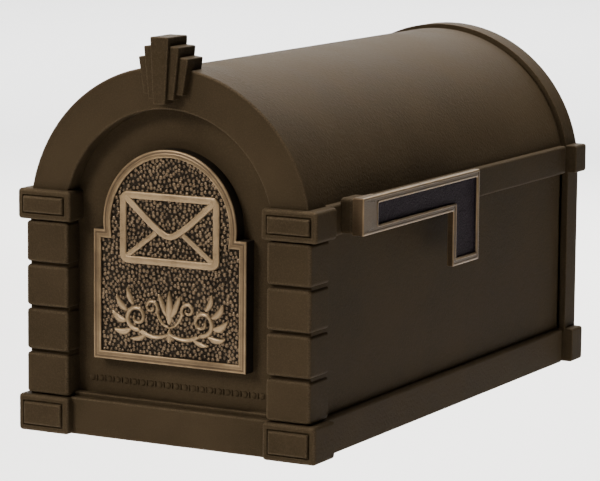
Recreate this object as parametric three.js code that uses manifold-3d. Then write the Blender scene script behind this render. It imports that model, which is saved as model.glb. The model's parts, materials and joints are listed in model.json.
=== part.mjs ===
// Post-mounted letter box in cast aluminium: a vaulted body with a rear cover, a drop-down door
// dressed as an arched gateway, a keystone pull, a brass plaque and a brass carrier flag.
// Millimetres. X to the right of someone facing the door, +Y to the rear, +Z up.
// The origin is on the underside, at the middle of the length and of the width.
import * as THREE from 'three';
import { mergeVertices } from 'three/addons/utils/BufferGeometryUtils.js';
import Module from 'manifold-3d';

const wasm = await Module();
wasm.setup();

// Driving dimensions
const overallLength = 538;
const blockHalfWidth = 139.5;
const springHeight = 178;
const barrelRadius = 128;
const archRadius = 131.5;
const wallHalfWidth = 125;
const wallThickness = 4;
const bandHalfWidth = 131.5;
const bandHeight = 31;
const beltLow = 177.5;
const beltHigh = 203;
const doorDepth = 36.5;
const doorGap = 1;
const coverDepth = 24;
const castingWall = 5;
const fitGap = 0.3;
const arcSteps = 16; // half of the facets of each large half circle
const holeSteps = 6; // half of the facets of each small round

// Stations along the length
const frontY = -overallLength / 2;
const doorBackY = frontY + doorDepth;
const bodyFrontY = doorBackY + doorGap;
const rearY = overallLength / 2;
const coverFrontY = rearY - coverDepth;
const bodyBackY = coverFrontY - fitGap;

// Hinge of the door and pivot of the flag, both parallel to X
const doorAxis = { y: frontY + 31, z: 6 };
const flagAxis = { y: frontY + 73, z: 193 };

const finishes = {
  bronzePaint: { color: 0x4a3e31, roughness: 0.55, metalness: 0.3 },
  brass: { color: 0xa58a62, roughness: 0.42, metalness: 0.85 },
  zincSteel: { color: 0xa9abad, roughness: 0.35, metalness: 0.9 },
  stainless: { color: 0xc3c5c7, roughness: 0.25, metalness: 1 },
  galvanised: { color: 0x9b9fa1, roughness: 0.5, metalness: 0.85 },
  ferrite: { color: 0x2a2a2c, roughness: 0.7, metalness: 0.1 },
  nylon: { color: 0xd8d3c4, roughness: 0.6, metalness: 0 },
};

// Solids: a three.js geometry becomes a manifold, is cut or joined, and comes back

function toSolid(geometry) {
  const bare = geometry.clone();
  bare.deleteAttribute('normal');
  bare.deleteAttribute('uv');
  const merged = mergeVertices(bare, 1e-4);
  const vertProperties = new Float32Array(merged.attributes.position.array);
  const triVerts = new Uint32Array(merged.index.array);
  return new wasm.Manifold(new wasm.Mesh({ numProp: 3, vertProperties, triVerts }));
}

function toGeometry(solid) {
  const { vertProperties, triVerts } = solid.getMesh();
  const geometry = new THREE.BufferGeometry();
  geometry.setAttribute('position', new THREE.BufferAttribute(new Float32Array(vertProperties), 3));
  geometry.setIndex(new THREE.BufferAttribute(new Uint32Array(triVerts), 1));
  geometry.computeVertexNormals();
  return geometry;
}

function join(pieces) {
  return pieces.reduce((whole, piece) => whole.add(piece));
}

function cut(solid, pieces) {
  return pieces.reduce((rest, piece) => rest.subtract(piece), solid);
}

// Extrusions of a flat outline, with an optional chamfer of both ends

function extrude(shape, depth, chamfer, curveSegments) {
  return new THREE.ExtrudeGeometry(shape, {
    depth: depth - 2 * chamfer,
    bevelEnabled: chamfer > 0,
    bevelThickness: chamfer,
    bevelSize: chamfer,
    bevelOffset: -chamfer,
    bevelSegments: 1,
    curveSegments,
  }).translate(0, 0, chamfer);
}

// Outline drawn in X and Z, extruded from one Y to another
function alongY(shape, fromY, toY, chamfer = 0, curveSegments = holeSteps) {
  const geometry = extrude(shape, toY - fromY, chamfer, curveSegments);
  return toSolid(geometry.rotateX(Math.PI / 2).translate(0, toY, 0));
}

// Outline drawn in Y and Z, extruded from one X to another
function alongX(shape, fromX, toX, chamfer = 0, curveSegments = holeSteps) {
  const turn = new THREE.Matrix4().makeBasis(
    new THREE.Vector3(0, 1, 0), new THREE.Vector3(0, 0, 1), new THREE.Vector3(1, 0, 0));
  const geometry = extrude(shape, toX - fromX, chamfer, curveSegments);
  return toSolid(geometry.applyMatrix4(turn).translate(fromX, 0, 0));
}

// Outline drawn in X and Y, extruded from one Z to another
function alongZ(shape, fromZ, toZ) {
  return toSolid(extrude(shape, toZ - fromZ, 0, holeSteps).translate(0, 0, fromZ));
}

function polygon(points) {
  return new THREE.Shape(points.map(([a, b]) => new THREE.Vector2(a, b)));
}

function rectangle(lowA, highA, lowB, highB, corner = 0) {
  if (corner === 0) {
    return polygon([[lowA, lowB], [highA, lowB], [highA, highB], [lowA, highB]]);
  }
  return polygon([
    [lowA + corner, lowB], [highA - corner, lowB], [highA, lowB + corner], [highA, highB - corner],
    [highA - corner, highB], [lowA + corner, highB], [lowA, highB - corner], [lowA, lowB + corner],
  ]);
}

function box(lowX, highX, lowY, highY, lowZ, highZ) {
  return alongY(rectangle(lowX, highX, lowZ, highZ), lowY, highY);
}

// A cast block with every edge chamfered
function castBlock(lowX, highX, lowY, highY, lowZ, highZ, edge) {
  return alongY(rectangle(lowX, highX, lowZ, highZ, edge), lowY, highY, edge);
}

function discOutline(a, b, radius) {
  const shape = new THREE.Shape();
  shape.absarc(a, b, radius, 0, 2 * Math.PI, false);
  return shape;
}

function rodAlongY(x, z, radius, fromY, toY) {
  return alongY(discOutline(x, z, radius), fromY, toY);
}

function rodAlongX(y, z, radius, fromX, toX, halfSides = holeSteps) {
  return alongX(discOutline(y, z, radius), fromX, toX, 0, halfSides);
}

function holeAlongZ(x, y, radius, fromZ, toZ) {
  return alongZ(discOutline(x, y, radius), fromZ, toZ);
}

function bothSides(make) {
  return [-1, 1].map((side) => make(side));
}

// The same block on the left or the right: inner and outer are distances from the middle
function span(side, inner, outer) {
  return side < 0 ? [-outer, -inner] : [inner, outer];
}

// Gateway outline: upright sides to the springing line, then a half circle
function gatewayOutline(halfWidth, radius, floorZ) {
  const shape = new THREE.Shape();
  shape.moveTo(-halfWidth, floorZ);
  shape.lineTo(halfWidth, floorZ);
  shape.lineTo(halfWidth, springHeight);
  shape.absarc(0, springHeight, radius, 0, Math.PI, false);
  shape.lineTo(-halfWidth, springHeight);
  return shape;
}

// A solid of that outline, between two stations along Y
function archway(halfWidth, radius, floorZ, fromY, toY, chamfer = 0) {
  return alongY(gatewayOutline(halfWidth, radius, floorZ), fromY, toY, chamfer, arcSteps);
}

function archRing(innerRadius, outerRadius, fromDegrees = 0, toDegrees = 180) {
  const start = THREE.MathUtils.degToRad(fromDegrees);
  const end = THREE.MathUtils.degToRad(toDegrees);
  const shape = new THREE.Shape();
  shape.absarc(0, springHeight, outerRadius, start, end, false);
  shape.absarc(0, springHeight, innerRadius, end, start, true);
  return shape;
}

// Fasteners: a head and a shank turned on a lathe, head at the origin end, pointing along +Z

const screwSizes = {
  cover: { headRadius: 4.5, headHeight: 3, shankRadius: 2.3, shankLength: 24 },
  floor: { headRadius: 4, headHeight: 2, shankRadius: 1.8, shankLength: 5.5 },
  mounting: { headRadius: 3.6, headHeight: 2.2, shankRadius: 1.8, shankLength: 6 },
  keystone: { headRadius: 4.2, headHeight: 3, shankRadius: 2.3, shankLength: 28 },
  plaque: { headRadius: 3.6, headHeight: 2.4, shankRadius: 1.7, shankLength: 11 },
  strike: { headRadius: 2.6, headHeight: 1, shankRadius: 1.3, shankLength: 7 },
  flagBracket: { headRadius: 3.8, headHeight: 2.4, shankRadius: 1.9, shankLength: 17 },
  magnet: { headRadius: 3, headHeight: 1.6, shankRadius: 1.4, shankLength: 3.4 },
};

const screwSides = 8;

// The underside of the head lies at 0, the head below it and the shank above it
function screwGeometry(size) {
  const { headRadius, headHeight, shankRadius, shankLength } = size;
  const tip = 1;
  const profile = [
    [0, -headHeight], [headRadius * 0.8, -headHeight], [headRadius, -headHeight * 0.5],
    [headRadius, 0], [shankRadius, 0], [shankRadius, shankLength - tip], [0, shankLength],
  ].map(([radius, height]) => new THREE.Vector2(radius, height));
  return new THREE.LatheGeometry(profile, screwSides).rotateX(Math.PI / 2);
}

const screwHoleGap = 0.35;

function shankHole(size) {
  return screwSizes[size].shankRadius + screwHoleGap;
}

function headHole(size) {
  return screwSizes[size].headRadius + screwHoleGap;
}

// The assembly

const letterBox = new THREE.Group();

function addMesh(name, finish, geometry) {
  const mesh = new THREE.Mesh(geometry, new THREE.MeshStandardMaterial(finishes[finish]));
  mesh.name = name;
  letterBox.add(mesh);
  return mesh;
}

// direction is where the shank points: 'front', 'rear', 'up', 'down' or 'right'
function addScrew(name, size, direction, x, y, z) {
  const turns = {
    up: [0, 0, 0],
    down: [Math.PI, 0, 0],
    front: [Math.PI / 2, 0, 0],
    rear: [-Math.PI / 2, 0, 0],
    right: [0, Math.PI / 2, 0],
  };
  const mesh = addMesh(name, 'zincSteel', toGeometry(toSolid(screwGeometry(screwSizes[size]))));
  mesh.rotation.set(...turns[direction]);
  mesh.position.set(x, y, z);
}

// Body: vaulted shell with a belt course and a base band

const ledge = { low: 5, high: 9, inner: 108 };
const floorSheet = { low: ledge.high + fitGap, thickness: 2 };
const bandEndY = bodyBackY - 5;
const innerHalfWidth = wallHalfWidth - wallThickness;

// Screw lugs that hold the rear cover, as places in X and Z
const coverLugs = [
  { name: 'lower', x: 113, z: 20, outerX: innerHalfWidth + 1, innerX: 106, low: 13, high: 27 },
  { name: 'upper', x: 101, z: 233, outerX: 111, innerX: 94, low: 226, high: 240 },
];
const coverLugDepth = 12;
const coverScrewY = bodyBackY - coverLugDepth - fitGap;

const bracketScrews = [-10, 10].map((offset) => ({ y: flagAxis.y + offset, z: 184 }));
const bushRadius = 5;

function bodyShell() {
  const outer = archway(wallHalfWidth, barrelRadius, 0, bodyFrontY, bodyBackY);
  const hollow = archway(innerHalfWidth, barrelRadius - wallThickness, -1, bodyFrontY - 1, bodyBackY + 1);
  const belts = bothSides((side) => {
    const [low, high] = span(side, innerHalfWidth, bandHalfWidth);
    return alongY(rectangle(low, high, beltLow, beltHigh, 1.2), bodyFrontY, bandEndY);
  });
  const bands = bothSides((side) => {
    const [low, high] = span(side, innerHalfWidth, bandHalfWidth);
    return alongY(rectangle(low, high, 0, bandHeight, 1.2), bodyFrontY, bandEndY);
  });
  const trimmedBelts = belts.map((belt) => belt.subtract(hollow));
  const ledges = bothSides((side) => {
    const [low, high] = span(side, ledge.inner, innerHalfWidth + 1);
    return box(low, high, bodyFrontY + 3, bodyBackY, ledge.low, ledge.high);
  });
  const lugs = coverLugs.flatMap((lug) => bothSides((side) => {
    const [low, high] = span(side, lug.innerX, lug.outerX);
    return box(low, high, bodyBackY - coverLugDepth, bodyBackY, lug.low, lug.high);
  }));
  const shell = join([outer.subtract(hollow), ...trimmedBelts, ...bands, ...ledges, ...lugs]);

  const hingeRelief = 2;
  const cuts = coverLugs.flatMap((lug) => bothSides((side) => rodAlongY(
    side * lug.x, lug.z, shankHole('cover'), bodyBackY - coverLugDepth - 1, bodyBackY + 1)));
  cuts.push(box(-bandHalfWidth - 1, bandHalfWidth + 1, bodyFrontY - 1, bodyFrontY + hingeRelief, -1, 12));
  const throughWall = [innerHalfWidth - 5, bandHalfWidth + 5];
  cuts.push(rodAlongX(flagAxis.y, flagAxis.z, bushRadius + fitGap, ...throughWall));
  bracketScrews.forEach(({ y, z }) => cuts.push(rodAlongX(y, z, shankHole('flagBracket'), ...throughWall)));
  bothSides((side) => {
    floorScrewYs.forEach((y) => cuts.push(
      holeAlongZ(side * floorScrewX, y, shankHole('floor'), ledge.low + 0.8, ledge.high + 1)));
    mountingScrewYs.forEach((y) => cuts.push(
      holeAlongZ(side * floorScrewX, y, shankHole('mounting'), ledge.low - 1, ledge.high - 0.6)));
  });
  const vaultTop = springHeight + barrelRadius;
  magnetScrewXs.forEach((x) => cuts.push(
    holeAlongZ(x, magnetScrewY, shankHole('magnet'), vaultTop - wallThickness - 2, vaultTop - 0.8)));
  return cut(shell, cuts);
}

// Floor, with the screws that hold it down on the ledges

const floorScrewX = 114;
const floorScrewYs = [bodyFrontY + 40, bodyBackY - 60];
const floorTop = floorSheet.low + floorSheet.thickness;
const floorFrontY = bodyFrontY + 3;
const hingeFlangeScrewY = bodyFrontY + 26;
const hingeFlangeScrewX = 72;

function floorPlate() {
  const halfWidth = innerHalfWidth - 0.5;
  const sheet = box(-halfWidth, halfWidth, floorFrontY, bodyBackY - 1, floorSheet.low, floorTop);
  const holes = [];
  bothSides((side) => {
    floorScrewYs.forEach((y) => holes.push(holeAlongZ(side * floorScrewX, y, shankHole('floor'), 0, 20)));
    holes.push(holeAlongZ(side * hingeFlangeScrewX, hingeFlangeScrewY, shankHole('floor'), 0, 20));
  });
  return cut(sheet, holes);
}

// Mounting plate under the ledges, flush with the underside of the body

const mountingPlate = {
  halfWidth: 120.5, fromY: bodyFrontY + 60, toY: bodyBackY - 40, top: ledge.low - fitGap,
};
const mountingScrewYs = [mountingPlate.fromY + 25, mountingPlate.toY - 25];
const postHole = { x: 60, radius: 4, ys: [-90, 90] };

function mountingPlateSolid() {
  const { halfWidth, fromY, toY, top } = mountingPlate;
  const plate = box(-halfWidth, halfWidth, fromY, toY, 0, top);
  const holes = [];
  const headPocket = screwSizes.mounting.headHeight + 0.6;
  bothSides((side) => {
    mountingScrewYs.forEach((y) => {
      holes.push(holeAlongZ(side * floorScrewX, y, headHole('mounting'), -1, headPocket));
      holes.push(holeAlongZ(side * floorScrewX, y, shankHole('mounting'), -1, 20));
    });
    postHole.ys.forEach((y) => holes.push(holeAlongZ(side * postHole.x, y, postHole.radius, -1, 20)));
  });
  return cut(plate, holes);
}

// Rear cover: rim, impost and base blocks, a recessed back panel and four bosses for its screws

const rearPanel = { front: rearY - 11, back: rearY - 6, halfWidth: 90 };
const rearBlockInner = 96;

function rearCover() {
  const { halfWidth, front, back } = rearPanel;
  const rim = archway(bandHalfWidth, archRadius, 0, coverFrontY, rearY, 1.5);
  const hollow = archway(innerHalfWidth - 0.5, archRadius - 8, bandHeight - 6, coverFrontY - 1, front);
  const backRecess = archway(halfWidth, halfWidth, bandHeight, back, rearY + 1);
  const blocks = bothSides((side) => {
    const [low, high] = span(side, rearBlockInner, blockHalfWidth);
    return join([
      castBlock(low, high, coverFrontY, rearY, beltLow, beltHigh, 2.5),
      castBlock(low, high, coverFrontY, rearY, 0, bandHeight, 2.5),
    ]);
  });
  const bosses = coverLugs.flatMap((lug) => bothSides((side) => rodAlongY(
    side * lug.x, lug.z, 7, coverFrontY, front + 1)));
  const pilotDepth = 14;
  const pilots = coverLugs.flatMap((lug) => bothSides((side) => rodAlongY(
    side * lug.x, lug.z, shankHole('cover'), coverFrontY - 1, coverFrontY + pilotDepth)));
  const casting = join([rim, ...blocks]).subtract(hollow).subtract(backRecess);
  return cut(join([casting, ...bosses]), pilots);
}

// Door: base blocks and strip, quoined pilasters, imposts, arch, and the recessed panel between them

const doorPanel = { front: frontY + 24, back: frontY + 29 };
const pilaster = { inner: 93, outer: 133, front: frontY + 5 };
const impost = { inner: 89.2, front: frontY };
const baseBlock = { inner: 91.4, front: frontY };
const baseStripFront = frontY + 10;
const doorArch = { inner: 97, front: frontY + 8 };
const quoinCount = 4;
const crownBoss = { halfWidth: 24 };

function quoinedPilaster(side) {
  const [low, high] = span(side, pilaster.inner, pilaster.outer);
  const groove = 2;
  const blocks = [];
  const pitch = (beltLow - bandHeight) / quoinCount;
  for (let course = 0; course < quoinCount; course += 1) {
    const foot = bandHeight + course * pitch;
    blocks.push(castBlock(low, high, pilaster.front, doorBackY, foot, foot + pitch, groove));
  }
  const core = box(
    low + groove, high - groove, pilaster.front + groove, doorBackY, bandHeight - 3, beltLow + 3);
  return join([core, ...blocks]);
}

// A block whose front face carries a raised panel
function panelledBlock(side, inner, lowZ, highZ) {
  const [low, high] = span(side, inner, blockHalfWidth);
  const relief = 2.2;
  const margin = 4.5;
  const block = castBlock(low, high, frontY + relief, doorBackY, lowZ, highZ, 3);
  const panel = castBlock(
    low + margin, high - margin, frontY, frontY + 8, lowZ + margin, highZ - margin, 1.2);
  return block.add(panel);
}

function doorSolid() {
  const arch = alongY(archRing(doorArch.inner, archRadius), doorArch.front, doorBackY, 1.5, arcSteps);
  const stripHalfWidth = baseBlock.inner + 4;
  const strip = castBlock(-stripHalfWidth, stripHalfWidth, baseStripFront, doorBackY, 0, bandHeight, 2);
  const panel = archway(
    pilaster.inner + 2, doorArch.inner + 2, bandHeight - 4, doorPanel.front, doorPanel.back);
  const blocks = bothSides((side) => join([
    panelledBlock(side, baseBlock.inner, 0, bandHeight),
    panelledBlock(side, impost.inner, beltLow, beltHigh),
    quoinedPilaster(side),
  ]));
  const mass = join([arch, strip, panel, ...blocks]);

  // Hollows from behind leave walls of the casting thickness
  const back = doorBackY + 1;
  const wall = castingWall;
  const hollows = bothSides((side) => {
    const [pilasterLow, pilasterHigh] = span(side, pilaster.inner + wall, pilaster.outer - wall);
    const [blockLow, blockHigh] = span(side, baseBlock.inner + wall, blockHalfWidth - wall);
    return join([
      box(pilasterLow, pilasterHigh, pilaster.front + 2 + wall, back, bandHeight + wall, beltLow - wall),
      box(blockLow, blockHigh, frontY + 2 + wall, back, wall, bandHeight - wall),
      box(blockLow, blockHigh, frontY + 2 + wall, back, beltLow + wall, beltHigh - wall),
    ]);
  });
  const crownAngle = THREE.MathUtils.radToDeg(Math.asin(crownBoss.halfWidth / doorArch.inner));
  const haunch = 16;
  const archHollows = [[haunch, 90 - crownAngle], [90 + crownAngle, 180 - haunch]].map(([from, to]) => alongY(
    archRing(doorArch.inner + wall, archRadius - wall, from, to), doorArch.front + wall, back, 0, arcSteps));
  const behindPanel = archway(
    pilaster.inner - 2, doorArch.inner - 4, bandHeight + wall, doorPanel.back, back);
  const behindStrip = box(
    -baseBlock.inner + 0.4, baseBlock.inner - 0.4, baseStripFront + wall, back, -1, bandHeight - wall);

  const cuts = [...hollows, ...archHollows, behindPanel, behindStrip];
  cuts.push(strikePocket());
  bothSides((side) => {
    const [low, high] = span(side, baseBlock.inner - 2, baseBlock.inner + wall + 2);
    cuts.push(rodAlongX(doorAxis.y, doorAxis.z, hingePin.radius + fitGap, low, high));
    cuts.push(rodAlongY(side * strikeScrewX, strike.z, shankHole('strike'), doorBackY - 12, back));
  });
  keystoneScrewZs.forEach((z) => {
    cuts.push(rodAlongY(0, z, shankHole('keystone'), doorArch.front - 10, back));
    cuts.push(rodAlongY(0, z, headHole('keystone'), keystoneHeadY - 0.3, back));
  });
  plaqueScrews.forEach(({ x, z }) => cuts.push(
    rodAlongY(x, z, shankHole('plaque'), doorPanel.front - 1, doorPanel.back + 1)));
  return cut(mass, cuts);
}

// Strike plate on the back of the crown, over the heads of the keystone screws
const strike = { halfWidth: 15, z: 292, halfHeight: 8.5, thickness: 1.5 };
const strikeScrewX = 10.5;
const strikePlateFrontY = doorBackY - 0.3 - strike.thickness;

function strikePocket() {
  return box(
    -strike.halfWidth - fitGap, strike.halfWidth + fitGap, strikePlateFrontY - fitGap, doorBackY + 1,
    strike.z - strike.halfHeight - fitGap, strike.z + strike.halfHeight + fitGap);
}

function strikePlate() {
  const plate = box(
    -strike.halfWidth, strike.halfWidth, strikePlateFrontY, strikePlateFrontY + strike.thickness,
    strike.z - strike.halfHeight, strike.z + strike.halfHeight);
  const holes = bothSides((side) => join([
    rodAlongY(side * strikeScrewX, strike.z, shankHole('strike'), doorBackY - 5, doorBackY + 1),
    rodAlongY(side * strikeScrewX, strike.z, headHole('strike'), strikePlateFrontY + 0.4, doorBackY + 1),
  ]));
  return cut(plate, holes);
}

// Keystone pull: five ribs fanning out from the centre of the arch, the middle one tallest and proudest

const keystoneBackY = frontY + 25.7;
const keystoneRibs = [
  { angle: 9.4, top: 141.2, bottom: 111, front: frontY + 1.2 },
  { angle: 6.27, top: 149.2, bottom: 106.5, front: frontY - 2 },
  { angle: 3.13, top: 156.4, bottom: 102.5, front: frontY - 5.2 },
];
const keystoneScrewZs = [285.5, 299.5];
const keystoneHeadY = doorBackY - 5.5;

function keystoneHandle() {
  const ribs = keystoneRibs.map(({ angle, top, bottom, front }) => {
    const slope = Math.tan(THREE.MathUtils.degToRad(angle));
    const outline = polygon([
      [-slope * bottom, springHeight + bottom], [slope * bottom, springHeight + bottom],
      [slope * top, springHeight + top], [-slope * top, springHeight + top],
    ]);
    return alongY(outline, front, keystoneBackY, 0.8);
  });
  const seatRadius = archRadius + fitGap;
  const seat = archway(seatRadius, seatRadius, bandHeight, doorArch.front - fitGap, rearY);
  const pilots = keystoneScrewZs.map((z) => rodAlongY(
    0, z, shankHole('keystone'), frontY + 1, doorArch.front + 1));
  return cut(join(ribs), [seat, ...pilots]);
}

// Plaque: shouldered arch with a raised border, hollow behind, with four screw bosses

const plaque = {
  halfWidth: 71.5, bottom: 66, shoulder: 173.3, neck: 62.5, radius: 62.5, front: frontY + 11,
  back: doorPanel.front - fitGap, border: 7, relief: 2.5, skin: 3.5,
};
const plaqueScrews = [84, 158].flatMap((z) => [-54, 54].map((x) => ({ x, z })));

function plaqueOutline(inset) {
  const { halfWidth, bottom, shoulder, neck, radius } = plaque;
  const centre = springHeight + 2;
  const shape = new THREE.Shape();
  shape.moveTo(-halfWidth + inset, bottom + inset);
  shape.lineTo(halfWidth - inset, bottom + inset);
  shape.lineTo(halfWidth - inset, shoulder - inset);
  shape.lineTo(neck - inset, shoulder - inset);
  shape.lineTo(neck - inset, centre);
  shape.absarc(0, centre, radius - inset, 0, Math.PI, false);
  shape.lineTo(-neck + inset, shoulder - inset);
  shape.lineTo(-halfWidth + inset, shoulder - inset);
  return shape;
}

function plaqueSolid() {
  const fieldY = plaque.front + plaque.relief;
  const casting = alongY(plaqueOutline(0), plaque.front, plaque.back, 0.8, arcSteps);
  const field = alongY(plaqueOutline(plaque.border), plaque.front - 1, fieldY, 0, arcSteps);
  const hollow = alongY(plaqueOutline(4), fieldY + plaque.skin, plaque.back + 1, 0, arcSteps);
  const bosses = plaqueScrews.map(({ x, z }) => rodAlongY(x, z, 5.5, fieldY + plaque.skin - 1, plaque.back));
  const pilots = plaqueScrews.map(({ x, z }) => rodAlongY(
    x, z, shankHole('plaque'), fieldY + plaque.skin, plaque.back + 1));
  return cut(join([cut(casting, [field, hollow]), ...bosses]), pilots);
}

// Door hinges: a lug plate screwed up under the floor on each side, and a headed pin through it

const hingeLug = { inner: 79.5, outer: 86.5, radius: 5.7, flangeInner: 62, backY: bodyFrontY + 44 };
const hingePin = { radius: 2.5, headRadius: 4.5, from: 76.2, to: baseBlock.inner + castingWall + 1, head: 3 };

function hingeBracket(side) {
  const top = ledge.high;
  const bottom = 0.3;
  const profile = new THREE.Shape();
  profile.moveTo(doorAxis.y, doorAxis.z - hingeLug.radius);
  profile.lineTo(hingeLug.backY, bottom);
  profile.lineTo(hingeLug.backY, top);
  profile.lineTo(doorAxis.y + hingeLug.radius + 3, top);
  profile.lineTo(doorAxis.y, doorAxis.z + hingeLug.radius);
  profile.absarc(doorAxis.y, doorAxis.z, hingeLug.radius, Math.PI / 2, 1.5 * Math.PI, false);
  const [low, high] = span(side, hingeLug.inner, hingeLug.outer);
  const [flangeLow, flangeHigh] = span(side, hingeLug.flangeInner, hingeLug.inner + 1);
  const plate = alongX(profile, low, high);
  const flange = box(flangeLow, flangeHigh, bodyFrontY + 10, hingeLug.backY, top - 4, top);
  const [holeLow, holeHigh] = span(side, hingeLug.inner - 1, hingeLug.outer + 1);
  return cut(plate.add(flange), [
    rodAlongX(doorAxis.y, doorAxis.z, hingePin.radius + fitGap, holeLow, holeHigh),
    holeAlongZ(side * hingeFlangeScrewX, hingeFlangeScrewY, shankHole('floor'), 0, 20),
  ]);
}

function hingePinSolid(side) {
  const [low, high] = span(side, hingePin.from, hingePin.to);
  const [headLow, headHigh] = span(side, hingePin.from, hingePin.from + hingePin.head);
  return join([
    rodAlongX(doorAxis.y, doorAxis.z, hingePin.radius, low, high),
    rodAlongX(doorAxis.y, doorAxis.z, hingePin.headRadius, headLow, headHigh),
  ]);
}

// Magnet catch under the crown of the vault

const magnet = { halfWidth: 12, frontY: doorBackY + 1.6, depth: 6, low: 286, high: 297 };
const magnetScrewXs = [-9, 9];
const magnetScrewY = magnet.frontY + magnet.depth + 10;
const magnetBracket = { halfWidth: 16, thickness: 2, top: springHeight + barrelRadius - wallThickness - 1.2 };

function magnetBracketSolid() {
  const { halfWidth, thickness, top } = magnetBracket;
  const faceY = magnet.frontY + magnet.depth + fitGap;
  const hanging = box(-halfWidth, halfWidth, faceY, faceY + thickness, magnet.low, top);
  const foot = box(-halfWidth, halfWidth, faceY, faceY + 18, top - thickness, top);
  const holes = magnetScrewXs.map((x) => holeAlongZ(x, magnetScrewY, shankHole('magnet'), top - 5, top + 5));
  return cut(hanging.add(foot), holes);
}

function magnetSolid() {
  const { halfWidth, depth, low, high } = magnet;
  return castBlock(-halfWidth, halfWidth, magnet.frontY, magnet.frontY + depth, low, high, 0.6);
}

// Flag: brass arm with a hanging leg and a sunk field, on a stud that turns in a bush

const flagBracket = { inner: bandHalfWidth + fitGap, outer: 141.6, halfLength: 15, low: 177.8, high: 208.4 };
const flag = { inner: 141.9, outer: 152, frontY: flagAxis.y - 15, backY: frontY + 276.5, legY: frontY + 225.5,
  low: 177.8, high: 208.4, legLow: 130.6, field: 2.6, fieldFrontY: frontY + 85,
  thinInner: 146, thinFrontY: frontY + 88 };
const stopPin = { radius: 2, orbit: 10, reach: 145.2 };
const stud = { radius: 3, from: 111.5, to: 146.5 };

function flagOutline(border, startY) {
  return polygon([
    [startY, flag.low + border], [flag.legY + border, flag.low + border],
    [flag.legY + border, flag.legLow + border], [flag.backY - 0.75 * border, flag.legLow + border],
    [flag.backY - 0.75 * border, flag.high - border], [startY, flag.high - border],
  ]);
}

function stopGroove() {
  const width = stopPin.radius + 0.6;
  const shape = new THREE.Shape();
  shape.absarc(flagAxis.y, flagAxis.z, stopPin.orbit + width, -Math.PI / 2, 0, false);
  shape.absarc(flagAxis.y, flagAxis.z, stopPin.orbit - width, 0, -Math.PI / 2, true);
  const depthX = stopPin.reach + fitGap + 0.3;
  return join([
    alongX(shape, flag.inner - 1, depthX),
    rodAlongX(flagAxis.y + stopPin.orbit, flagAxis.z, width, flag.inner - 1, depthX),
    rodAlongX(flagAxis.y, flagAxis.z - stopPin.orbit, width, flag.inner - 1, depthX),
  ]);
}

function flagSolid() {
  const arm = alongX(flagOutline(0, flag.frontY), flag.inner, flag.outer, 1.2);
  const field = alongX(flagOutline(6.5, flag.fieldFrontY), flag.outer - flag.field, flag.outer + 1);
  const socket = rodAlongX(flagAxis.y, flagAxis.z, stud.radius + fitGap, flag.inner - 1, stud.to + fitGap);
  // Past the end block the arm and leg are only 6 mm thick
  const thinner = box(
    flag.inner - 1, flag.thinInner, flag.thinFrontY, flag.backY + 1, flag.legLow - 1, flag.high + 1);
  return cut(arm, [field, socket, stopGroove(), thinner]);
}

function flagBracketSolid() {
  const { inner, outer, halfLength, low, high } = flagBracket;
  const block = alongX(
    rectangle(flagAxis.y - halfLength, flagAxis.y + halfLength, low, high, 1), inner, outer, 0.6);
  const cuts = [
    rodAlongX(flagAxis.y, flagAxis.z, bushRadius + fitGap, inner - 1, outer + 1),
    rodAlongX(flagAxis.y + stopPin.orbit, flagAxis.z, stopPin.radius + fitGap, outer - 4, outer + 1),
  ];
  bracketScrews.forEach(({ y, z }) => cuts.push(
    rodAlongX(y, z, shankHole('flagBracket'), inner - 1, inner + 7.6)));
  return cut(block, cuts);
}

function ringAlongX(outerRadius, innerRadius, fromX, toX, halfSides = holeSteps) {
  const ring = rodAlongX(flagAxis.y, flagAxis.z, outerRadius, fromX, toX, halfSides);
  return ring.subtract(rodAlongX(flagAxis.y, flagAxis.z, innerRadius, fromX - 1, toX + 1));
}

function flagBush() {
  const flange = ringAlongX(8, stud.radius + fitGap, 118.4, innerHalfWidth - fitGap);
  const sleeve = ringAlongX(bushRadius, stud.radius + fitGap, innerHalfWidth - 1, flagBracket.outer - 0.2);
  return flange.add(sleeve);
}

// Placing everything

addMesh('body_shell', 'bronzePaint', toGeometry(bodyShell()));
addMesh('floor_plate', 'galvanised', toGeometry(floorPlate()));
addMesh('mounting_plate', 'galvanised', toGeometry(mountingPlateSolid()));
addMesh('rear_cover', 'bronzePaint', toGeometry(rearCover()));

bothSides((side) => {
  const name = side < 0 ? 'left' : 'right';
  addMesh(`hinge_bracket_${name}`, 'galvanised', toGeometry(hingeBracket(side)));
  addMesh(`hinge_pin_${name}`, 'stainless', toGeometry(hingePinSolid(side)));
  addScrew(
    `hinge_bracket_screw_${name}`, 'floor', 'down', side * hingeFlangeScrewX, hingeFlangeScrewY,
    floorTop + fitGap);
  floorScrewYs.forEach((y, index) => addScrew(
    `floor_screw_${name}_${index + 1}`, 'floor', 'down', side * floorScrewX, y, floorTop + fitGap));
  mountingScrewYs.forEach((y, index) => addScrew(
    `mounting_screw_${name}_${index + 1}`, 'mounting', 'up', side * floorScrewX, y, 2.5));
  coverLugs.forEach((lug) => addScrew(
    `cover_screw_${name}_${lug.name}`, 'cover', 'rear', side * lug.x, coverScrewY, lug.z));
});

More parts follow.
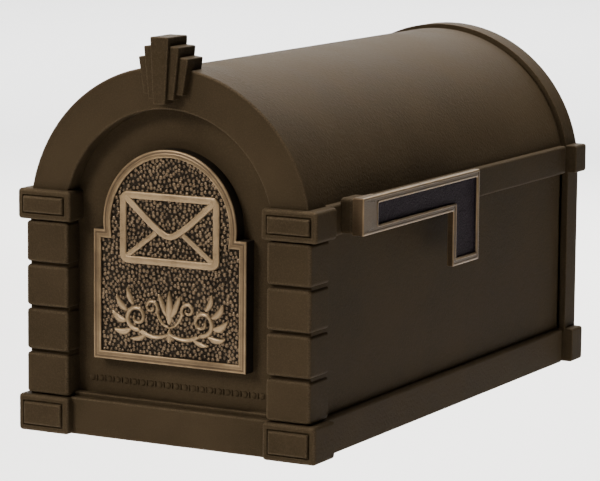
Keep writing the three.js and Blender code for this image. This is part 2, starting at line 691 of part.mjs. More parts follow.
addMesh('door', 'bronzePaint', toGeometry(doorSolid()));
addMesh('keystone_handle', 'bronzePaint', toGeometry(keystoneHandle()));
keystoneScrewZs.forEach((z, index) => addScrew(
  `keystone_screw_${index + 1}`, 'keystone', 'front', 0, keystoneHeadY, z));
addMesh('plaque', 'brass', toGeometry(plaqueSolid()));
plaqueScrews.forEach(({ x, z }, index) => addScrew(
  `plaque_screw_${index + 1}`, 'plaque', 'front', x, doorPanel.back + 0.3, z));
addMesh('strike_plate', 'zincSteel', toGeometry(strikePlate()));
bothSides((side) => {
  const name = side < 0 ? 'left' : 'right';
  addScrew(`strike_screw_${name}`, 'strike', 'front', side * strikeScrewX, strikePlateFrontY + 0.7, strike.z);
});

addMesh('magnet_bracket', 'galvanised', toGeometry(magnetBracketSolid()));
addMesh('catch_magnet', 'ferrite', toGeometry(magnetSolid()));
const magnetScrewZ = magnetBracket.top - magnetBracket.thickness - fitGap;
magnetScrewXs.forEach((x, index) => addScrew(
  `magnet_screw_${index + 1}`, 'magnet', 'up', x, magnetScrewY, magnetScrewZ));

addMesh('flag', 'brass', toGeometry(flagSolid()));
addMesh('flag_bracket', 'bronzePaint', toGeometry(flagBracketSolid()));
addMesh('flag_bush', 'nylon', toGeometry(flagBush()));
addMesh('flag_stud', 'stainless', toGeometry(
  rodAlongX(flagAxis.y, flagAxis.z, stud.radius, stud.from, stud.to)));
addMesh('flag_spring_washer', 'stainless', toGeometry(ringAlongX(7.5, stud.radius + fitGap, 116.9, 118.1)));
addMesh('flag_lock_nut', 'stainless', toGeometry(ringAlongX(5.8, stud.radius + fitGap, 112, 116.6, 3)));
addMesh('flag_stop_pin', 'stainless', toGeometry(
  rodAlongX(flagAxis.y + stopPin.orbit, flagAxis.z, stopPin.radius, flagBracket.outer - 3.6, stopPin.reach)));
bracketScrews.forEach(({ y, z }, index) => addScrew(
  `flag_bracket_screw_${index + 1}`, 'flagBracket', 'right', innerHalfWidth - 0.3, y, z));

export default letterBox;
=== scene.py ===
import json
import math

import bmesh
import bpy
from mathutils import Matrix, Vector


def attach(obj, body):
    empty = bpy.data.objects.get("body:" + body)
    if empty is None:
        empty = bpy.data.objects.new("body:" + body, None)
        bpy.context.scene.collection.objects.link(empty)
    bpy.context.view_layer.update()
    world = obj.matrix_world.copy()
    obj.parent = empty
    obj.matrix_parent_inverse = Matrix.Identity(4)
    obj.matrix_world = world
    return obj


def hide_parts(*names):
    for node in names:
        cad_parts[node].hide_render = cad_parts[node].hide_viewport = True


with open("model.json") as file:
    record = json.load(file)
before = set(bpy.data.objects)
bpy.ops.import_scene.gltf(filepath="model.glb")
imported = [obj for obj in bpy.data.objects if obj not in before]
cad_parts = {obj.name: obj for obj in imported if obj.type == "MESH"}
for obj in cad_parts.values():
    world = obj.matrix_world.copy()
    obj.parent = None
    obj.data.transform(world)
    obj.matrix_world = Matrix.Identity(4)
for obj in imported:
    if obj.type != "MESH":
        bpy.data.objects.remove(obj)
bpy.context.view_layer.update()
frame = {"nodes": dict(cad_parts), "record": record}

print("frame loaded,", len(frame["nodes"]), "nodes")


# outlines, in millimetres
springHeight = 178  # where every arch of the box starts


# counter-clockwise order, so that an inset always goes inwards
def turned(points):
    area = sum(a[0] * b[1] - b[0] * a[1] for a, b in zip(points, points[1:] + points[:1]))
    return list(points) if area > 0 else list(reversed(points))


def inset(points, distance):
    if abs(distance) < 1e-9:
        return list(points)
    out = []
    count = len(points)
    for i in range(count):
        before, here, after = (Vector(points[i - 1]), Vector(points[i]), Vector(points[(i + 1) % count]))
        a, b = (here - before).normalized(), (after - here).normalized()
        na, nb = Vector((-a.y, a.x)), Vector((-b.y, b.x))
        shift = (na + nb) / max(1 + na.dot(nb), 0.2) * distance
        out.append((here.x + shift.x, here.y + shift.y))
    return out


# rounds every real corner of an outline and leaves the steps of its arcs alone
def fillet(points, radius, steps=4):
    points = turned(points)
    out = []
    count = len(points)
    for i in range(count):
        here = Vector(points[i])
        back, on = Vector(points[i - 1]) - here, Vector(points[(i + 1) % count]) - here
        turn = math.pi - back.angle(on)
        if turn < math.radians(20):
            out.append(points[i])
            continue
        reach = min(radius * math.tan(turn / 2), back.length * 0.45, on.length * 0.45)
        start, end = here + back.normalized() * reach, here + on.normalized() * reach
        middle = (start + end) / 2
        r = reach / math.tan(turn / 2)
        centre = here + (middle - here).normalized() * math.hypot(r, reach)
        a0 = math.atan2(start.y - centre.y, start.x - centre.x)
        a1 = math.atan2(end.y - centre.y, end.x - centre.x)
        swing = (a1 - a0 + math.pi) % (2 * math.pi) - math.pi
        for k in range(steps + 1):
            a = a0 + swing * k / steps
            out.append((centre.x + r * math.cos(a), centre.y + r * math.sin(a)))
    return out


def rectangle(x0, z0, x1, z1):
    return [(x0, z0), (x1, z0), (x1, z1), (x0, z1)]


def spiral(cx, cz, r0, r1, a0, a1, steps=40):
    out = []
    for k in range(steps + 1):
        radius, a = r0 + (r1 - r0) * k / steps, math.radians(a0 + (a1 - a0) * k / steps)
        out.append((cx + radius * math.cos(a), cz + radius * math.sin(a)))
    return out


def arc(radius, a0, a1, steps, centre=(0, springHeight)):
    return spiral(centre[0], centre[1], radius, radius, a0, a1, steps)


def gateway(halfWidth, bottom, steps=64):
    return [(-halfWidth, bottom), (halfWidth, bottom)] + arc(halfWidth, 0, 180, steps)


def archBand(inner, outer, a0, a1, steps=64):
    return arc(outer, a0, a1, steps) + arc(inner, a1, a0, steps)


def bothSides(points):
    return [turned(points), turned([(-x, z) for x, z in points])]


# solids built up in loops, each loop an outline at a height
def newShape():
    return {"points": [], "faces": [], "rims": [], "kinds": []}


def frontPlace(u, v, h):
    return (u, h, v)


def sidePlace(u, v, h):
    return (h, u, v)


# loops are (outline, height, rim). low and high are the two caps' material numbers, bands the side's
def addLoops(shape, loops, place, low=0, high=0, bands=None):
    base, count = len(shape["points"]), len(loops[0][0])
    for outline, height, rim in loops:
        shape["points"] += [place(u, v, height) for u, v in outline]
        shape["rims"] += [rim] * count
    for k in range(len(loops) - 1):
        for i in range(count):
            j = (i + 1) % count
            shape["faces"].append((base + k * count + i, base + k * count + j,
                                   base + (k + 1) * count + j, base + (k + 1) * count + i))
            shape["kinds"].append(bands[k] if bands else 0)
    last = base + (len(loops) - 1) * count
    shape["faces"].append(tuple(base + i for i in reversed(range(count))))
    shape["faces"].append(tuple(last + i for i in range(count)))
    shape["kinds"] += [low, high]


# levels (inset, height, rim) of a side that runs from start to end and rounds over at the end
def rounding(start, end, radius, steps=4, offset=0.0):
    way = 1 if end > start else -1
    out = []
    for k in range(steps + 1):
        a = math.pi / 2 * k / steps
        out.append((offset + radius * (1 - math.cos(a)), end - way * radius * (1 - math.sin(a)),
                    math.sin(2 * a)))
    return out


# the levels of a side from end to start, for a part that is rounded at its far end too
def roundingBack(start, end, radius, steps=2):
    return list(reversed(rounding(start, end, radius, steps)))


def relief(shape, outline, levels, place=frontPlace, **caps):
    outline = turned(outline)
    addLoops(shape, [(inset(outline, i), h, rim) for i, h, rim in levels], place, **caps)


hair = 0.05  # keeps neighbouring loops from meeting
grooveReach = (1.3, 0.7)  # how far out the two edges of the groove round a raised field lie


# a cast block with rounded corners and front edge
# panel is (margin, height, edge, groove) of a raised field on it
def block(shape, outline, back, front, edge, corner=None, place=frontPlace, backEdge=0.0, panel=None):
    outline = turned(outline)
    corner = (edge if corner is None else corner) + hair
    levels = roundingBack(front, back, backEdge, 4) if backEdge else [(0, back, 0)]
    levels += rounding(back, front, edge)
    if panel:
        margin, height, soft, groove = panel
        outer, inner = grooveReach
        floor = front + groove
        levels += [(margin - outer, front, 0.3), (margin - inner, floor, 0), (margin, floor, 0)]
        levels += rounding(floor, height, soft, 4, margin + hair)
    loops = [(fillet(inset(outline, i), max(corner - i, 0.5)), h, rim) for i, h, rim in levels]
    addLoops(shape, loops, place)


# a raised line on a flat ground
# section is (share of the half width, height, rim) from one side to the other
def strip(shape, path, widths, section, ground, closed=False):
    count = len(path)
    base = len(shape["points"])
    rows = len(section)
    for i in range(count):
        if closed:
            before, after = Vector(path[i - 1]), Vector(path[(i + 1) % count])
        else:
            before, after = Vector(path[max(i - 1, 0)]), Vector(path[min(i + 1, count - 1)])
        here = Vector(path[i])
        a = (here - before).normalized() if (here - before).length > 1e-9 else (after - here).normalized()
        b = (after - here).normalized() if (after - here).length > 1e-9 else a
        na, nb = Vector((-a.y, a.x)), Vector((-b.y, b.x))
        normal = (na + nb) / max(1 + na.dot(nb), 0.35)
        tapered = isinstance(widths, list)
        w = widths[i] if tapered else widths
        scale = min(1.0, w / 1.2) if tapered else 1.0  # thin ends are low too
        for share, height, rim in section:
            p = here + normal * (share * w)
            shape["points"].append(frontPlace(p.x, p.y, ground - height * scale))
            shape["rims"].append(rim)
    for i in range(count if closed else count - 1):
        j = (i + 1) % count
        for k in range(rows - 1):
            shape["faces"].append((base + i * rows + k, base + j * rows + k,
                                   base + j * rows + k + 1, base + i * rows + k + 1))
            shape["kinds"].append(0)
    if not closed:
        shape["faces"].append(tuple(base + k for k in range(rows)))
        shape["faces"].append(tuple(base + (count - 1) * rows + k for k in reversed(range(rows))))
        shape["kinds"] += [0, 0]


sharpAngle = 42  # degrees, a crease sharper than this stays sharp


def makeObject(name, shape, materials, weighted=True):
    mesh = bpy.data.meshes.new(name)
    mesh.from_pydata([(x / 1000, y / 1000, z / 1000) for x, y, z in shape["points"]], [], shape["faces"])
    mesh.update()
    # rim weights the painted highlight that the materials lay along rounded edges
    rim = mesh.attributes.new("rim", "FLOAT", "POINT")
    rim.data.foreach_set("value", [float(v) for v in shape["rims"]])
    for polygon, kind in zip(mesh.polygons, shape["kinds"]):
        polygon.material_index = kind
        polygon.use_smooth = True
    bm = bmesh.new()
    bm.from_mesh(mesh)
    bmesh.ops.remove_doubles(bm, verts=bm.verts, dist=1e-7)
    bmesh.ops.recalc_face_normals(bm, faces=bm.faces)
    bm.to_mesh(mesh)
    bm.free()
    for material in materials:
        mesh.materials.append(material)
    piece = bpy.data.objects.new(name, mesh)
    bpy.context.scene.collection.objects.link(piece)
    mesh.set_sharp_from_angle(angle=math.radians(sharpAngle))
    if weighted:
        modifier = piece.modifiers.new("weighted", "WEIGHTED_NORMAL")
        modifier.keep_sharp = True
        modifier.weight = 60
        bpy.context.view_layer.update()
        settled = bpy.data.meshes.new_from_object(piece.evaluated_get(bpy.context.evaluated_depsgraph_get()))
        piece.modifiers.clear()
        piece.data = settled
        settled.name = name
    return piece


def assign(piece, body, slot, *replaced):
    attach(piece, body)
    if replaced:
        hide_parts(*replaced)


# materials
def startMaterial(name):
    material = bpy.data.materials.new(name)
    material.use_nodes = True
    tree = material.node_tree
    shader = next(n for n in tree.nodes if n.type == "BSDF_PRINCIPLED")
    coords = tree.nodes.new("ShaderNodeTexCoord")
    return material, tree, shader, coords.outputs["Object"]


def noise(tree, vector, scale, detail=3.0):
    node = tree.nodes.new("ShaderNodeTexNoise")
    node.inputs["Scale"].default_value = scale
    node.inputs["Detail"].default_value = detail
    node.inputs["Roughness"].default_value = 0.55
    tree.links.new(vector, node.inputs["Vector"])
    return node.outputs["Fac"]


def stretched(tree, vector, scale):
    node = tree.nodes.new("ShaderNodeMapping")
    node.inputs["Scale"].default_value = scale
    tree.links.new(vector, node.inputs["Vector"])
    return node.outputs["Vector"]


def ranged(tree, value, low, high, fromLow=0.0, fromHigh=1.0):
    node = tree.nodes.new("ShaderNodeMapRange")
    node.inputs["From Min"].default_value = fromLow
    node.inputs["From Max"].default_value = fromHigh
    node.inputs["To Min"].default_value = low
    node.inputs["To Max"].default_value = high
    tree.links.new(value, node.inputs["Value"])
    return node.outputs["Result"]


def mixed(tree, factor, a, b):
    node = tree.nodes.new("ShaderNodeMix")
    node.data_type = "RGBA"
    tree.links.new(factor, node.inputs["Factor"])
    for source, socket in ((a, node.inputs["A"]), (b, node.inputs["B"])):
        if isinstance(source, bpy.types.NodeSocket):
            tree.links.new(source, socket)
        else:
            socket.default_value = (*source, 1)
    return node.outputs["Result"]


def maths(tree, operation, a, b):
    node = tree.nodes.new("ShaderNodeMath")
    node.operation = operation
    for source, socket in ((a, node.inputs[0]), (b, node.inputs[1])):
        if isinstance(source, bpy.types.NodeSocket):
            tree.links.new(source, socket)
        else:
            socket.default_value = source
    return node.outputs["Value"]


def bumped(tree, shader, height, distance, after=None):
    node = tree.nodes.new("ShaderNodeBump")
    node.inputs["Strength"].default_value = 1.0
    node.inputs["Distance"].default_value = distance
    tree.links.new(height, node.inputs["Height"])
    if after is not None:
        tree.links.new(after, node.inputs["Normal"])
    tree.links.new(node.outputs["Normal"], shader.inputs["Normal"])
    return node.outputs["Normal"]


def attribute(tree, name):
    node = tree.nodes.new("ShaderNodeAttribute")
    node.attribute_name = name
    return node.outputs["Fac"]


def makePaint(name, values):
    material, tree, shader, coords = startMaterial(name)
    cloud = noise(tree, coords, values["cloudScale"], 4)
    grain = noise(tree, coords, values["grainScale"], 2)
    peel = noise(tree, coords, values["peelScale"], 2)
    base = mixed(tree, ranged(tree, cloud, 0, 1, 0.35, 0.65), values["dark"], values["light"])
    speck = mixed(tree, ranged(tree, grain, 0, values["speck"], 0.45, 0.7), base, values["fleck"])
    # painted highlight: a lighter colour laid along the rounded edges, weighted by the rim attribute and
    # broken up by the grain
    rim = maths(tree, "MULTIPLY", attribute(tree, "rim"),
                ranged(tree, grain, values["rimLow"], values["rimHigh"], 0.3, 0.7))
    tree.links.new(mixed(tree, rim, speck, values["edgeHighlight"]), shader.inputs["Base Color"])
    gloss = maths(tree, "ADD", ranged(tree, cloud, values["roughLow"], values["roughHigh"], 0.3, 0.7),
                  ranged(tree, grain, -0.04, 0.04, 0.3, 0.7))
    tree.links.new(gloss, shader.inputs["Roughness"])
    shader.inputs["Specular IOR Level"].default_value = values["specular"]
    shader.inputs["Specular Tint"].default_value = (1.0, 0.86, 0.70, 1)  # warm sheen
    sand = noise(tree, coords, values["sandScale"], 3)
    first = bumped(tree, shader, sand, values["sandDepth"])
    second = bumped(tree, shader, peel, values["peelDepth"], after=first)
    bumped(tree, shader, grain, values["grainDepth"], after=second)
    return material


def makeMetal(name, values):
    material, tree, shader, coords = startMaterial(name)
    cloud = noise(tree, coords, values["cloudScale"], 4)
    brush = noise(tree, stretched(tree, coords, values["brushScale"]), 1.0, 3)
    base = mixed(tree, ranged(tree, cloud, 0, 1, 0.3, 0.7), values["dark"], values["light"])
    streak = mixed(tree, ranged(tree, brush, 0, values["streak"], 0.4, 0.75), base, values["tarnish"])
    # painted highlight: a brighter colour laid along the rounded edges and crowns, weighted by the rim
    # attribute
    rim = maths(tree, "MULTIPLY", attribute(tree, "rim"),
                ranged(tree, cloud, 0.35, values["rimGain"], 0.3, 0.7))
    tree.links.new(mixed(tree, rim, streak, values["edgeHighlight"]), shader.inputs["Base Color"])
    shader.inputs["Metallic"].default_value = values["metallic"]
    shader.inputs["Specular IOR Level"].default_value = values["specular"]
    gloss = maths(tree, "ADD", ranged(tree, cloud, values["roughLow"], values["roughHigh"], 0.3, 0.7),
                  ranged(tree, brush, -0.06, 0.06, 0.3, 0.7))
    tree.links.new(gloss, shader.inputs["Roughness"])
    bumped(tree, shader, brush, values["brushDepth"])
    return material


paintValues = {
    "dark": (0.0192, 0.0132, 0.0070), "light": (0.0254, 0.0176, 0.0095), "fleck": (0.042, 0.030, 0.0175),
    "edgeHighlight": (0.080, 0.057, 0.034), "speck": 0.42, "rimLow": 0.0, "rimHigh": 0.45,
    "cloudScale": 14, "sandScale": 300, "sandDepth": 0.00022, "grainScale": 950,
    "peelScale": 420, "roughLow": 0.53, "roughHigh": 0.61,
    "specular": 0.013, "peelDepth": 0.00032, "grainDepth": 0.00012,
}
brassValues = {
    "dark": (0.050, 0.033, 0.018), "light": (0.073, 0.049, 0.027), "tarnish": (0.034, 0.019, 0.008),
    "edgeHighlight": (0.24, 0.165, 0.090), "streak": 0.5, "rimGain": 0.9, "metallic": 0.42, "specular": 0.08,
    "cloudScale": 60, "brushScale": (260, 260, 2400), "brushDepth": 0.00006,
    "roughLow": 0.34, "roughHigh": 0.46,
}
groundValues = {
    "dark": (0.007, 0.0052, 0.0038), "light": (0.013, 0.0098, 0.0070), "fleck": (0.026, 0.020, 0.013),
    "edgeHighlight": (0.10, 0.075, 0.045), "speck": 0.5, "rimLow": 0.1, "rimHigh": 0.5,
    "cloudScale": 60, "sandScale": 200, "sandDepth": 0.0002, "grainScale": 1800,
    "peelScale": 700, "roughLow": 0.50, "roughHigh": 0.62,
    "specular": 0.02, "peelDepth": 0.00012, "grainDepth": 0.00005,
}
fieldValues = {
    "dark": (0.008, 0.0060, 0.0075), "light": (0.014, 0.0105, 0.013), "fleck": (0.034, 0.027, 0.031),
    "edgeHighlight": (0.05, 0.05, 0.06), "speck": 0.7, "rimLow": 0.1, "rimHigh": 0.5,
    "cloudScale": 90, "sandScale": 420, "sandDepth": 0.0008, "grainScale": 1300,
    "peelScale": 620, "roughLow": 0.48, "roughHigh": 0.60,
    "specular": 0.012, "peelDepth": 0.00035, "grainDepth": 0.00012,
}
zincValues = {
    "dark": (0.42, 0.43, 0.44), "light": (0.56, 0.57, 0.58), "tarnish": (0.30, 0.31, 0.32),
    "edgeHighlight": (0.7, 0.7, 0.7), "streak": 0.4, "rimGain": 0.8, "metallic": 1.0, "specular": 0.5,
    "cloudScale": 220, "brushScale": (900, 900, 900), "brushDepth": 0.00003,
    "roughLow": 0.28, "roughHigh": 0.40,
}
steelValues = {
    "dark": (0.55, 0.55, 0.56), "light": (0.66, 0.66, 0.67), "tarnish": (0.42, 0.42, 0.43),
    "edgeHighlight": (0.75, 0.75, 0.75), "streak": 0.35, "rimGain": 0.8, "metallic": 1.0, "specular": 0.5,
    "cloudScale": 160, "brushScale": (300, 3200, 3200), "brushDepth": 0.00003,
    "roughLow": 0.22, "roughHigh": 0.34,
}


# dull zinc with its crystal pattern
def makeSpangle(name, values):
    material, tree, shader, coords = startMaterial(name)
    cells = tree.nodes.new("ShaderNodeTexVoronoi")
    cells.inputs["Scale"].default_value = values["spangle"]
    tree.links.new(coords, cells.inputs["Vector"])
    shade = tree.nodes.new("ShaderNodeSeparateColor")
    tree.links.new(cells.outputs["Color"], shade.inputs["Color"])
    cloud = noise(tree, coords, values["cloudScale"], 4)
    base = mixed(tree, ranged(tree, shade.outputs["Red"], 0.15, 0.85), values["dark"], values["light"])
    bloomed = mixed(tree, ranged(tree, cloud, 0, 0.4, 0.4, 0.7), base, values["bloom"])
    tree.links.new(bloomed, shader.inputs["Base Color"])
    shader.inputs["Metallic"].default_value = values["metallic"]
    gloss = ranged(tree, shade.outputs["Green"], values["roughLow"], values["roughHigh"])
    tree.links.new(gloss, shader.inputs["Roughness"])
    bumped(tree, shader, noise(tree, coords, values["grainScale"], 2), values["grainDepth"])
    return material


spangleValues = {
    "spangle": 130, "dark": (0.36, 0.37, 0.38), "light": (0.50, 0.51, 0.52), "bloom": (0.60, 0.61, 0.61),
    "cloudScale": 25, "metallic": 0.9, "roughLow": 0.36, "roughHigh": 0.54, "grainScale": 900,
    "grainDepth": 0.00003,
}


def makePlastic(name, values):
    material, tree, shader, coords = startMaterial(name)
    cloud = noise(tree, coords, values["cloudScale"], 3)
    grain = noise(tree, coords, values["grainScale"], 2)
    base = mixed(tree, ranged(tree, cloud, 0, 1, 0.35, 0.65), values["dark"], values["light"])
    tree.links.new(base, shader.inputs["Base Color"])
    gloss = ranged(tree, grain, values["roughLow"], values["roughHigh"], 0.35, 0.65)
    tree.links.new(gloss, shader.inputs["Roughness"])
    bumped(tree, shader, grain, values["grainDepth"])
    return material


ferriteValues = {
    "cloudScale": 300, "dark": (0.018, 0.018, 0.020), "light": (0.035, 0.035, 0.038),
    "roughLow": 0.5, "roughHigh": 0.7, "grainScale": 2200, "grainDepth": 0.00004,
}
nylonValues = {
    "cloudScale": 200, "dark": (0.62, 0.59, 0.51), "light": (0.70, 0.67, 0.60),
    "roughLow": 0.38, "roughHigh": 0.5, "grainScale": 2200, "grainDepth": 0.00004,
}

paint = makePaint("bronzePaint", paintValues)
brass = makeMetal("agedBrass", brassValues)
ground = makePaint("blackenedGround", groundValues)
field = makePaint("darkField", fieldValues)
zinc = makeMetal("zincPlate", zincValues)
stainless = makeMetal("turnedStainless", steelValues)
spangle = makeSpangle("galvanisedSheet", spangleValues)
ferrite = makePlastic("ferrite", ferriteValues)
nylon = makePlastic("nylon", nylonValues)
print("materials made")


# body casting
bodyValues = {
    "front": -231.5, "back": 244.7, "bandEnd": 239.7, "wall": (121, 125), "wallTop": 176, "vault": (124, 128),
    "belt": (177.5, 203), "base": (0, 31), "proud": 131.5, "bandEdge": 2.2, "bandFrontEdge": 1.5,
    "endEdge": 0.8, "mouthEdge": 0.5, "arcSteps": 72, "spigot": 1.55, "lap": 1,
    "ledge": (108, 5, 122, 9), "ledgeEnds": (-228, 243.5), "ledgeEdge": 0.8,
    "lugs": ((113, 20), (101, 233)), "lugRadius": 7.2, "lugHalf": 6.5, "lugFront": 233, "lugBack": 244.6,
    "lugReach": 10, "lugEdge": 0.6, "lugStep": 0.4,
}


def makeBody(v):
    shape = newShape()
    inside, outside = v["wall"]
    top, steps = v["wallTop"], v["arcSteps"]
    under, over = v["vault"]
    outer = [(outside, 0), (outside, top)] + arc(over, 0, 180, steps) + [(-outside, top), (-outside, 0)]
    inner = [(-inside, 0), (-inside, top)] + arc(under, 180, 0, steps) + [(inside, top), (inside, 0)]
    rear = roundingBack(v["bandEnd"], v["front"], v["endEdge"])
    relief(shape, outer + inner, rear + rounding(v["front"], v["bandEnd"], v["mouthEdge"], 2))
    # thinner past the bands, where the rear cover goes over it
    relief(shape, outer + inner, [(v["spigot"], v["bandEnd"] - v["lap"], 0), (v["spigot"], v["back"], 0)])
    for low, high in (v["belt"], v["base"]):
        for outline in bothSides(rectangle(inside + 2, low, v["proud"], high)):
            relief(shape, fillet(outline, v["bandEdge"]),
                   rear + rounding(v["front"], v["bandEnd"], v["bandFrontEdge"], 3))
    for outline in bothSides(rectangle(*v["ledge"])):
        block(shape, outline, v["ledgeEnds"][1], v["ledgeEnds"][0], v["ledgeEdge"])
    # lugs that take the rear cover's screws
    front, back, half = v["lugFront"], v["lugBack"], v["lugHalf"]
    for x, z in v["lugs"]:
        for s in (-1, 1):
            lug = arc(v["lugRadius"], 0, 337.5, 15, (s * x, z))
            relief(shape, lug, [(0, front, 0)] + rounding(front, back, v["lugEdge"], 2))
            near, far = sorted((s * x, s * (x + v["lugReach"])))
            web = rectangle(near, z - half, far, z + half)
            relief(shape, web, [(0, front + v["lugStep"], 0), (0, back, 0)])
    return shape


bodyPiece = makeObject("bodyCasting", makeBody(bodyValues), [paint])
assign(bodyPiece, "box", "bronze_paint", "body_shell")
print("body made")


# rear cover casting
rearValues = {
    "front": 245, "back": 269, "half": 131.5, "edge": 1.8, "frontEdge": 0.8, "wall": 6, "floor": 258,
    "sunkHalf": 90, "sunkBottom": 31, "sunkBack": 263, "sunkEdge": 1.0,
    "lip": ((-1.2, 0, 0), (-0.35, 0.35, 1), (0, 1.2, 0)), "blockEdge": 2.5, "blockBackEdge": 1.2,
    "blocks": ((96, 177.5, 139.5, 203), (96, 0, 139.5, 31)),
}


def makeRear(v):
    shape = newShape()
    outer = turned(gateway(v["half"], 0))
    sunk = turned(gateway(v["sunkHalf"], v["sunkBottom"]))
    front, back = v["front"], v["back"]
    loops = [(inset(outer, v["wall"]), v["floor"], 0), (inset(outer, v["wall"]), front, 0)]
    loops += [(inset(outer, i), h, rim) for i, h, rim in roundingBack(back, front, v["frontEdge"])]
    loops += [(inset(outer, i), h, rim) for i, h, rim in rounding(front, back, v["edge"])]
    # the sunk panel's rounded lip, its side and its floor
    loops += [(inset(sunk, i), back - depth, rim) for i, depth, rim in v["lip"]]
    loops += [(sunk, v["sunkBack"] + v["sunkEdge"], 0), (inset(sunk, v["sunkEdge"]), v["sunkBack"], 0)]
    addLoops(shape, loops, frontPlace)
    for bounds in v["blocks"]:
        for outline in bothSides(rectangle(*bounds)):
            block(shape, outline, front + hair, back - hair, v["blockEdge"], backEdge=v["blockBackEdge"])
    return shape


rearPiece = makeObject("rearCasting", makeRear(rearValues), [paint])
assign(rearPiece, "box", "bronze_paint", "rear_cover")
print("rear cover made")


# door casting
doorValues = {
    "back": -232.5, "ring": (97, 131.5), "ringEnds": (8, 172), "ringFront": -261, "ringEdge": 2.0,
    "panelHalf": 99, "panelBottom": 8, "panelFront": -245, "panelBack": -240,
    "pilaster": (93, 133), "pilasterFront": -264, "quoinEdge": 3.0, "quoinGap": 2.4, "quoins": (31, 177.5, 4),
    "quoinBackEdge": 0.8, "coreBack": 5.0, "coreInset": (1.2, 1.6), "coreWall": (4.5, 9), "coreLap": 1,
    "baseBlock": (91.4, 0, 139.5, 31), "impost": (89.2, 177.5, 139.5, 203),
    "blockFront": -266.8, "blockEdge": 3.0, "blockBackEdge": 1.2,
    "raised": -268.95, "margin": 6.0, "panelEdge": 2.1, "groove": 1.3,
    "stripFront": -259, "stripHalf": 95.4, "stripTop": 31, "stripEdge": 2.0, "stripWall": (3, 8),
    "sill": (27, 34.6), "sillProud": 7.0, "sillEdge": 1.5, "sillRoot": 1,
    "plateFront": -234.6, "plateSplits": (80, 100), "plateLap": 0.1, "strike": (15.4, 8.9, 292),
}


def makeDoor(v):
    shape = newShape()
    back = v["back"]
    low, high, count = v["quoins"]
    pitch = (high - low) / count
    x0, x1 = v["pilaster"]

    # a core runs behind the quoins, open at the back
    wall, deep = v["coreWall"]
    near, far = v["coreInset"]
    core = rectangle(x0 + near, low - v["coreLap"], x1 - far, high + v["coreLap"])
    for outline in bothSides(core):
        relief(shape, outline, [(wall, v["pilasterFront"] + deep, 0), (wall, back, 0), (0, back, 0),
                                (0, v["pilasterFront"] + v["coreBack"], 0)])
    for k in range(count):
        z0 = low + k * pitch + v["quoinGap"] / 2
        z1 = low + (k + 1) * pitch - v["quoinGap"] / 2
        for outline in bothSides(rectangle(x0, z0, x1, z1)):
            block(shape, outline, back - v["plateLap"], v["pilasterFront"], v["quoinEdge"],
                  backEdge=v["quoinBackEdge"])
    for bounds in (v["baseBlock"], v["impost"]):
        for outline in bothSides(rectangle(*bounds)):
            block(shape, outline, back, v["blockFront"], v["blockEdge"], backEdge=v["blockBackEdge"],
                  panel=(v["margin"], v["raised"], v["panelEdge"], v["groove"]))

    # the ring, then its back plate in three lengths, the middle one sunk for the strike plate
    inner, outer = v["ring"]
    start, end = v["ringEnds"]
    plate = v["plateFront"]
    plateEnd = plate - v["plateLap"]
    relief(shape, archBand(inner, outer, start, end, 96),
           [(0, plate, 0)] + rounding(plate, v["ringFront"], v["ringEdge"], 4))
    left, right = v["plateSplits"]
    for a0, a1 in ((start, left), (right, end)):
        relief(shape, archBand(inner, outer, a0, a1, 40), [(0, back, 0), (0, plateEnd, 0)])
    outline = turned(archBand(inner, outer, left, right, 60))
    halfWidth, halfHeight, level = v["strike"]
    last = len(outline) // 2 - 1
    across = [halfWidth * (1 - 2 * k / last) for k in range(last + 1)]
    sunk = [(x, level + halfHeight) for x in across] + [(-x, level - halfHeight) for x in across]
    addLoops(shape, [(sunk, plate + hair, 0), (sunk, back, 0), (outline, back, 0), (outline, plateEnd, 0)],
             frontPlace)

    # the sunk panel, the strip along the bottom and the sill over it
    relief(shape, gateway(v["panelHalf"], v["panelBottom"]),
           [(0, v["panelBack"], 0), (0, v["panelFront"], 0)])
    half = v["stripHalf"]
    wall, deep = v["stripWall"]
    relief(shape, fillet(rectangle(-half, 0, half, v["stripTop"]), v["stripEdge"]),
           [(wall, v["stripFront"] + deep, 0), (wall, back, 0), (0, back, 0)] +
           rounding(back, v["stripFront"], v["stripEdge"]))
    relief(shape, fillet(rectangle(-half, v["sill"][0], half, v["sill"][1]), v["sillEdge"]),
           [(0, v["panelFront"] + v["sillRoot"], 0)] +
           rounding(v["panelFront"], v["panelFront"] - v["sillProud"], v["sillEdge"]))
    return shape


doorPiece = makeObject("doorCasting", makeDoor(doorValues), [paint])
assign(doorPiece, "door_leaf", "bronze_paint", "door")
print("door made")


# keystone pull, five ribs that fan out from the centre of the arch
# each side rib is (outer angle, bottom radius, top radius, front), the centre one lacks the angle
keystoneValues = {
    "back": -243.3, "edge": 1.3, "corner": 1.0, "backEdge": 0.8, "tuck": 0.6, "width": 3.13,
    "sides": ((9.4, 111, 141.2, -267.8), (6.27, 106.5, 149.2, -271.0)), "centre": (102.5, 156.4, -274.2),
}


def makeKeystone(v):
    shape = newShape()

    # angles are measured off the vertical
    def at(radius, a):
        return (radius * math.sin(math.radians(a)), springHeight + radius * math.cos(math.radians(a)))

    def rib(a0, a1, bottom, top, front):
        outline = [at(bottom, a0), at(bottom, a1), at(top, a1), at(top, a0)]
        block(shape, outline, v["back"], front, v["edge"], corner=v["corner"], backEdge=v["backEdge"])

    width = v["width"]
    for angle, bottom, top, front in v["sides"]:
        for s in (-1, 1):
            rib(s * (angle - width - v["tuck"]), s * angle, bottom, top, front)
    rib(-width, width, *v["centre"])
    return shape


keystonePiece = makeObject("keystonePull", makeKeystone(keystoneValues), [paint])
assign(keystonePiece, "door_leaf", "bronze_paint", "keystone_handle")
print("keystone made")


